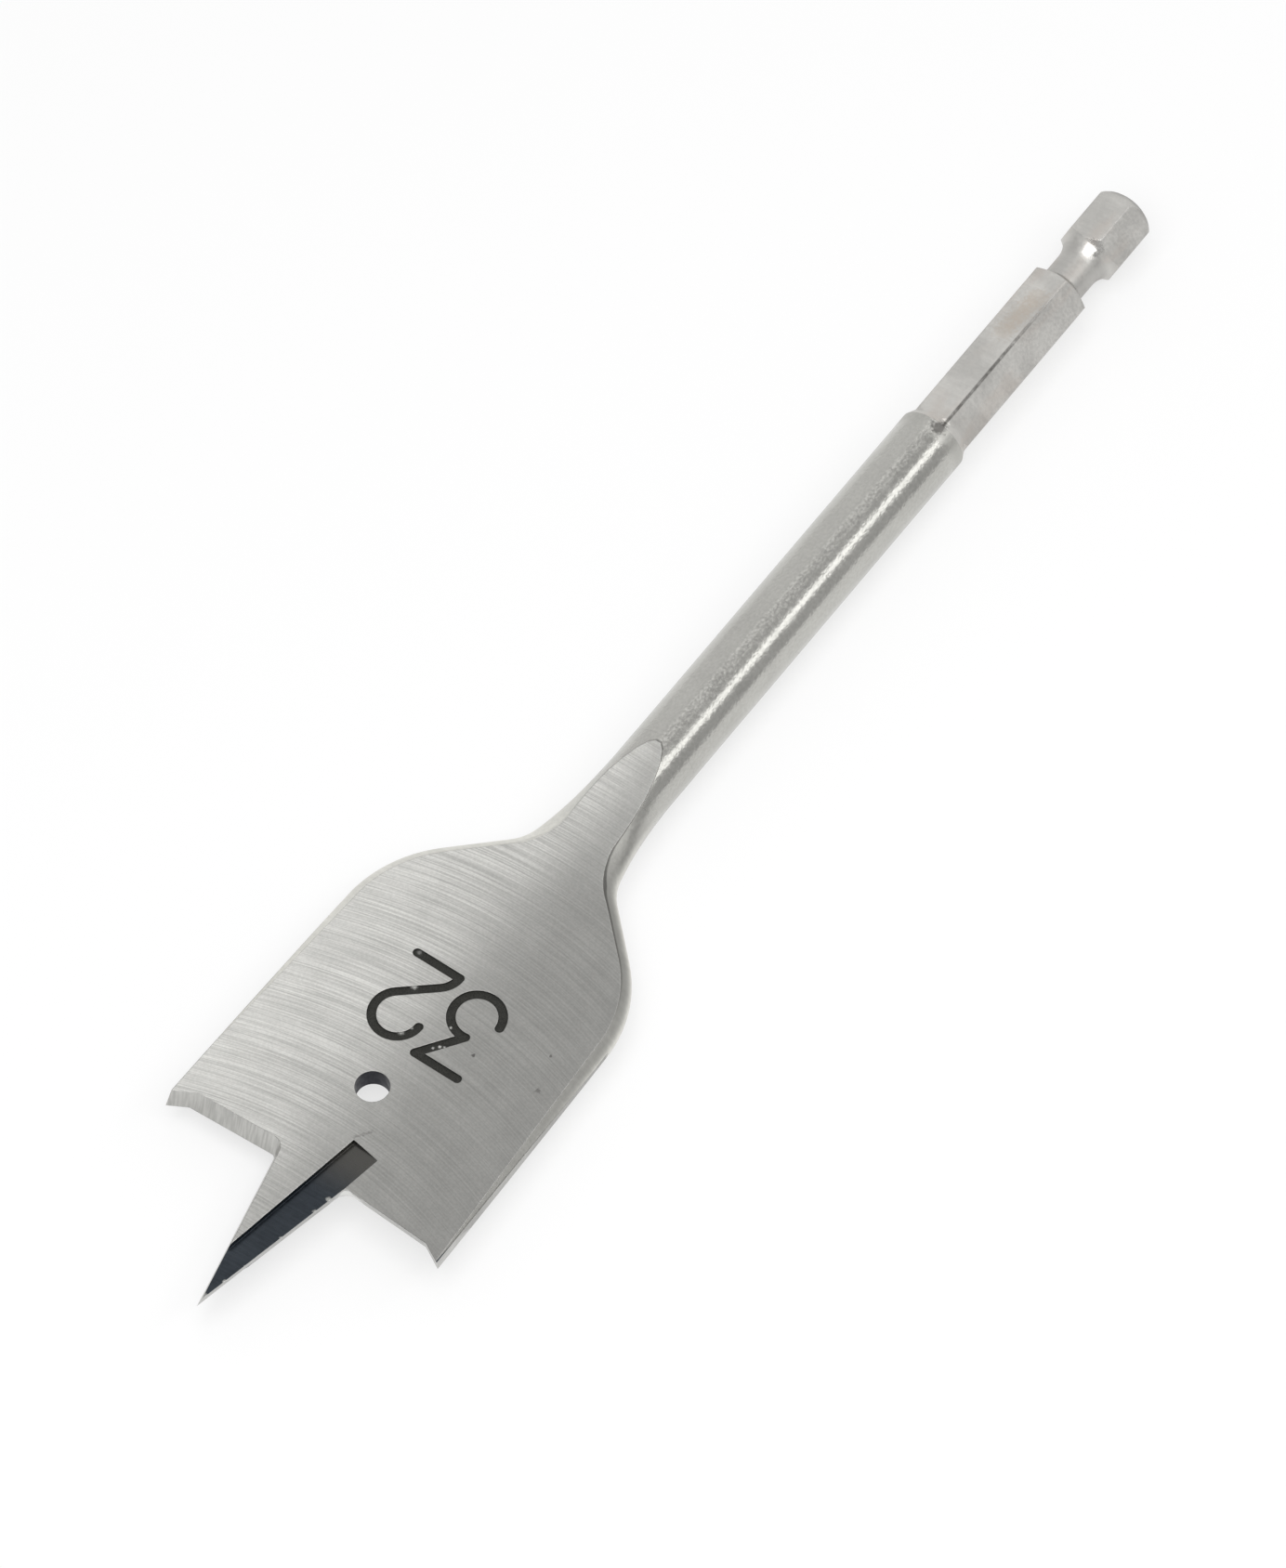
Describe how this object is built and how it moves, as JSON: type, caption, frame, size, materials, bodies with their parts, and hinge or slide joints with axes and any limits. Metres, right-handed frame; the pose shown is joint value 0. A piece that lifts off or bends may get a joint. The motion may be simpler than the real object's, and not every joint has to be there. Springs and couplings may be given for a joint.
{
  "type": "spade drill bit",
  "caption": "Flat spade bit for boring wood: brushed steel paddle with spurred lips, a tapered centre point and a wire hole, on a round shank with a hexagonal quick-change end.",
  "frame": {"origin": "centre of the free end of the hexagonal shank, on the tool's axis", "axes": "+X along the axis and out of the shank end, the way a chuck leaves; +Z square to the stamped face of the blade; +Y across the blade"},
  "size_m": [0.1528, 0.032, 0.0072],
  "materials": {
    "steel": "ground and brushed faces, satin forged shank"
  },
  "bodies": {
    "root": {"spade_bit": "steel"}
  },
  "joints": []
}
